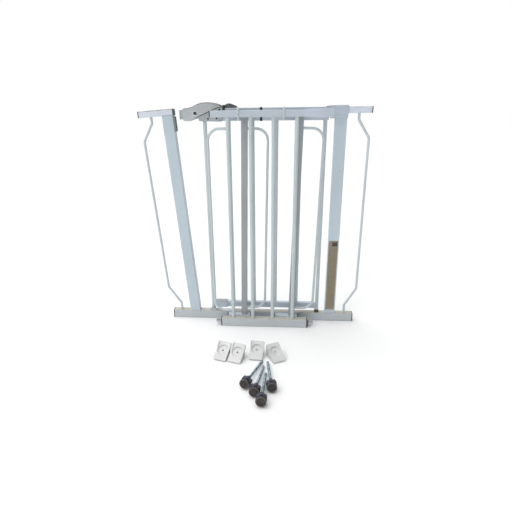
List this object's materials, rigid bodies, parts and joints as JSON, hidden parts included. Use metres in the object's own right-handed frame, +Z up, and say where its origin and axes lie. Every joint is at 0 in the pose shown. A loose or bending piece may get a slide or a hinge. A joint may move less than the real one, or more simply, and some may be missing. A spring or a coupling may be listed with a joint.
{
  "type": "pet gate",
  "caption": "Walk-through pressure-fit pet gate with a hinged barred door, lift-lever latch, tied extension pieces, wall cups and threaded spindles.",
  "frame": {"origin": "on the floor, under the centre of the frame's bottom rail, in the middle of its depth", "axes": "+Z up; +X along the gate, from the latch side to the hinge side; +Y away from the extension kit, the way the door opens"},
  "size_m": [0.7641, 0.5211, 0.779],
  "materials": {
    "white_powder_coat": "satin powder coat",
    "grey_plastic": "moulded satin",
    "dark_plastic": "moulded matt",
    "knob_plastic": "moulded matt",
    "dark_rubber": "matt",
    "white_plastic": "moulded, low gloss",
    "zinc_steel": "bright zinc",
    "clear_nylon": "translucent nylon",
    "label_sheet": "blank printed sheet"
  },
  "bodies": {
    "frame": {"bottom_hinge_pin": "zinc_steel", "cable_ties": "clear_nylon", "extension_end_caps": "dark_plastic", "extension_peg_nut": "dark_plastic", "extension_pegs": "grey_plastic", "extension_sleeve": "grey_plastic", "frame_bottom_rail": "white_powder_coat", "frame_end_caps": "dark_plastic", "frame_label": "label_sheet", "hinge_bracket": "grey_plastic", "hinge_washer": "dark_plastic", "latch_keeper": "grey_plastic", "left_arm_inner_cap": "dark_plastic", "left_side_rod": "white_powder_coat", "left_top_arm": "white_powder_coat", "left_upright": "white_powder_coat", "lower_catch": "grey_plastic", "narrow_extension_1_post": "white_powder_coat", "narrow_extension_1_rails": "white_powder_coat", "narrow_extension_1_rod": "white_powder_coat", "narrow_extension_2_post": "white_powder_coat", "narrow_extension_2_rails": "white_powder_coat", "narrow_extension_2_rod": "white_powder_coat", "right_side_rod": "white_powder_coat", "right_top_arm": "white_powder_coat", "right_upright": "white_powder_coat", "spindle_feet": "dark_rubber", "spindle_rods": "zinc_steel", "top_hinge_pin": "zinc_steel", "wall_cups": "white_plastic", "wide_extension_bars": "white_powder_coat", "wide_extension_bottom_rail": "white_powder_coat", "wide_extension_end_rod": "white_powder_coat", "wide_extension_top_rail": "white_powder_coat"},
    "door": {"door_top_rail": "white_powder_coat", "door_rail_plug": "dark_plastic", "door_rail_band": "dark_plastic", "door_latch_stile": "white_powder_coat", "door_hinge_stile": "white_powder_coat", "door_bars": "white_powder_coat", "door_bottom_rail": "white_powder_coat", "door_stop_sleeve": "grey_plastic", "lift_rod_guide": "grey_plastic", "hinge_bush": "dark_plastic", "latch_base": "grey_plastic", "latch_rivets": "dark_plastic", "latch_collar": "dark_plastic", "lever_screw": "zinc_steel", "lever_washers": "grey_plastic", "spring_stop": "zinc_steel", "slider_spring": "zinc_steel"},
    "lever": {"latch_lever": "grey_plastic", "latch_jaw": "grey_plastic"},
    "lift_rod": {"lift_rod": "zinc_steel"},
    "slider": {"safety_slider": "dark_plastic"},
    "nut_1": {"thumb_nut_1": "knob_plastic"},
    "nut_2": {"thumb_nut_2": "knob_plastic"},
    "nut_3": {"thumb_nut_3": "knob_plastic"},
    "nut_4": {"thumb_nut_4": "knob_plastic"}
  },
  "joints": [
    {"name": "door_swing", "type": "hinge", "parent": "frame", "child": "door", "pos_m": [0.208, 0, 0], "axis": [0, 0, -1], "range_deg": [0, 90]},
    {"name": "lever_lift", "type": "hinge", "parent": "door", "child": "lever", "pos_m": [-0.215, 0, 0.746], "axis": [0, -1, 0], "range_deg": [0, 18]},
    {"name": "rod_lift", "type": "slide", "parent": "door", "child": "lift_rod", "axis": [0, 0, 1], "range_m": [0, 0.0088]},
    {"name": "slider_pull", "type": "slide", "parent": "door", "child": "slider", "axis": [1, 0, 0], "range_m": [0, 0.008], "stiffness_N_per_m": 250, "springref_m": -0.008, "deforming": ["slider_spring"]},
    {"name": "nut_1_turn", "type": "hinge", "parent": "frame", "child": "nut_1", "pos_m": [-0.02338, -0.413, 0.017], "axis": [-0.3125, -0.9447, 0.1], "continuous": true},
    {"name": "nut_2_turn", "type": "hinge", "parent": "frame", "child": "nut_2", "pos_m": [0.00355, -0.44527, 0.017], "axis": [-0.1416, -0.9849, 0.1], "continuous": true},
    {"name": "nut_3_turn", "type": "hinge", "parent": "frame", "child": "nut_3", "pos_m": [0.02292, -0.48211, 0.017], "axis": [-0.0513, -0.9937, 0.1], "continuous": true},
    {"name": "nut_4_turn", "type": "hinge", "parent": "frame", "child": "nut_4", "pos_m": [0.04786, -0.42322, 0.017], "axis": [0.1191, -0.9878, 0.1], "continuous": true}
  ],
  "couplings": [
    {"joint": "rod_lift", "follows": "lever_lift", "m_per_rad": 0.028}
  ]
}
